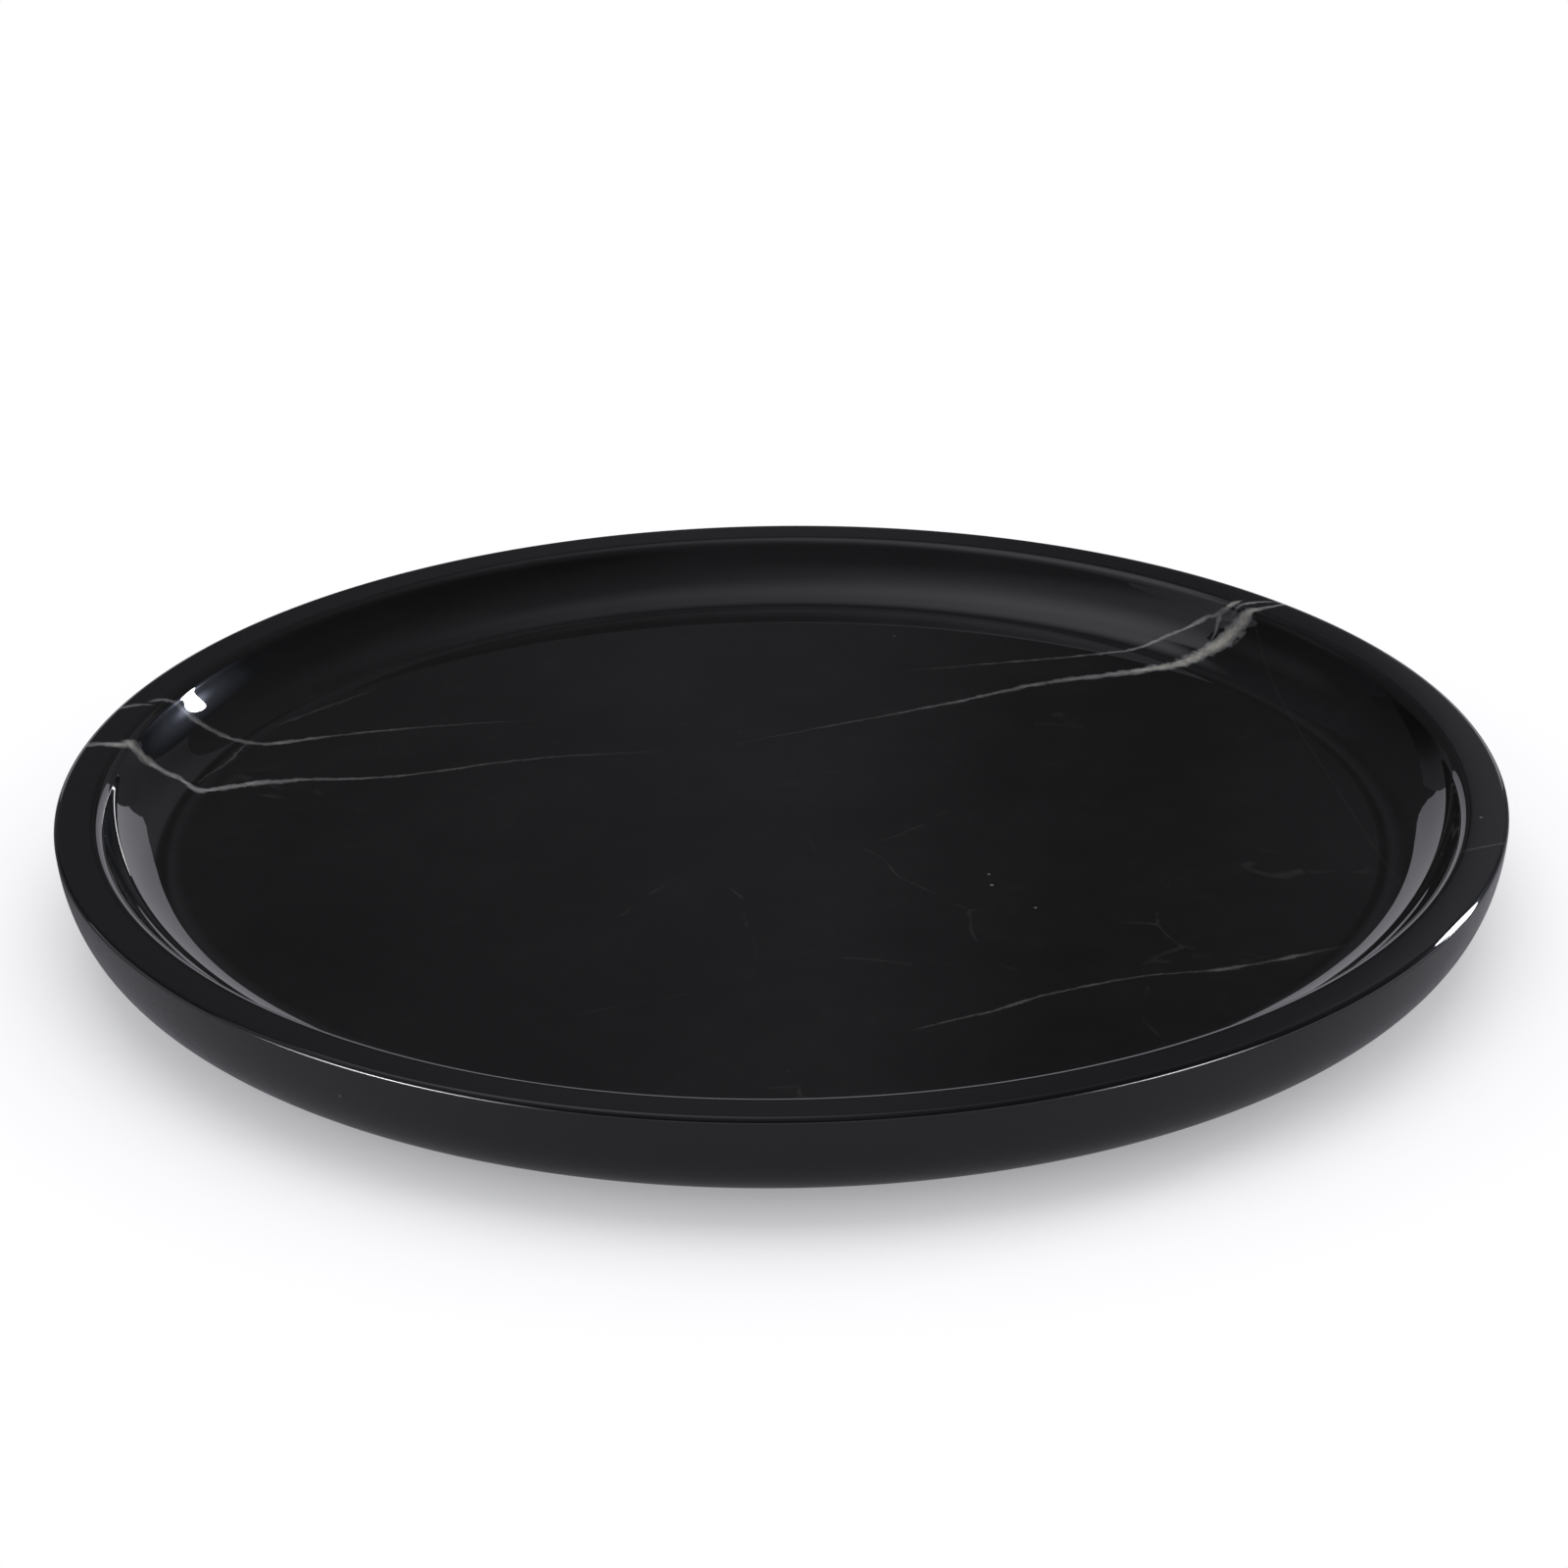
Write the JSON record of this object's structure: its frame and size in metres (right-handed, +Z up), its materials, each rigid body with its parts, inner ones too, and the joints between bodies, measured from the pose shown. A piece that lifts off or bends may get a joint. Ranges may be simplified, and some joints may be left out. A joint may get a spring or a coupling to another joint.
{
  "type": "round marble tray",
  "caption": "Shallow round stone tray: flat rim, coved dish and a curved outer wall on stick-on rubber feet; holds a watch, keys and other small things.",
  "frame": {"origin": "centre of the circle that the feet stand on, in the plane of their undersides", "axes": "+Z up along the tray's axis of turning, +X to the right and -Y towards the viewer"},
  "size_m": [0.25, 0.25, 0.02],
  "materials": {
    "black_marble": "polished, with fine grey-white veins",
    "foot_rubber": "matt"
  },
  "bodies": {
    "root": {"tray_body": "black_marble", "foot_front_left": "foot_rubber", "foot_front_right": "foot_rubber", "foot_rear_right": "foot_rubber", "foot_rear_left": "foot_rubber"}
  },
  "joints": []
}
